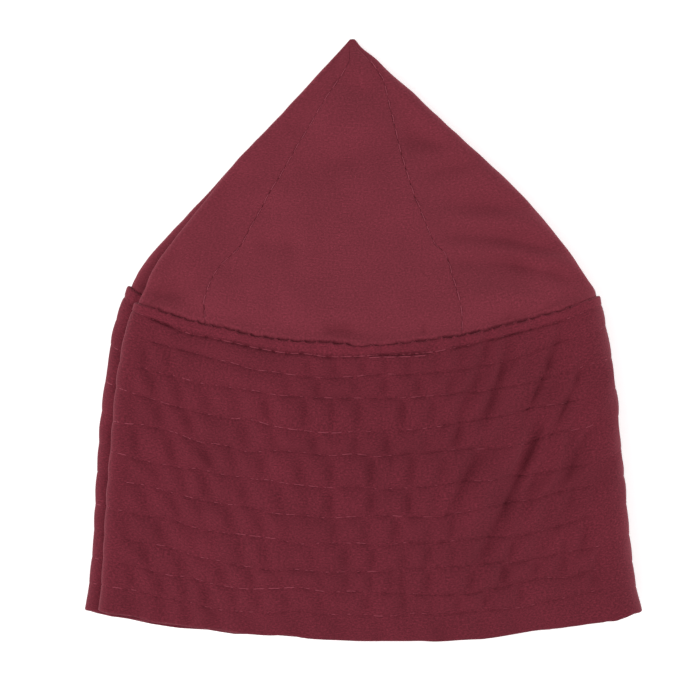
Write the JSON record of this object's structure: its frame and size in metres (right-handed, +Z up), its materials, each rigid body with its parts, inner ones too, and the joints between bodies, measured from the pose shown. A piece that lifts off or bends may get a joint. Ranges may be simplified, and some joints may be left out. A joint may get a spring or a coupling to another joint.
{
  "type": "kufi cap",
  "caption": "Brimless cloth cap with a pointed crown of sewn gores and a tall quilted band, folded in quarter and lying flat.",
  "frame": {"origin": "on the table under the middle of the folded cap", "axes": "+Y from the open hem to the crown's tip, +X towards the rounded fold, +Z up from the table"},
  "size_m": [0.145, 0.1574, 0.0207],
  "materials": {
    "quilted_cloth": "matt woven cotton, quilted with rows of stitching",
    "crown_cloth": "matt woven cotton",
    "thread": "sewing thread, slightly glossy"
  },
  "bodies": {
    "root": {"band": "quilted_cloth", "crown_gore_1": "crown_cloth", "crown_gore_2": "crown_cloth", "crown_gore_3": "crown_cloth", "crown_gore_4": "crown_cloth", "crown_gore_5": "crown_cloth", "crown_gore_6": "crown_cloth", "crown_gore_7": "crown_cloth", "crown_gore_8": "crown_cloth"}
  },
  "joints": []
}
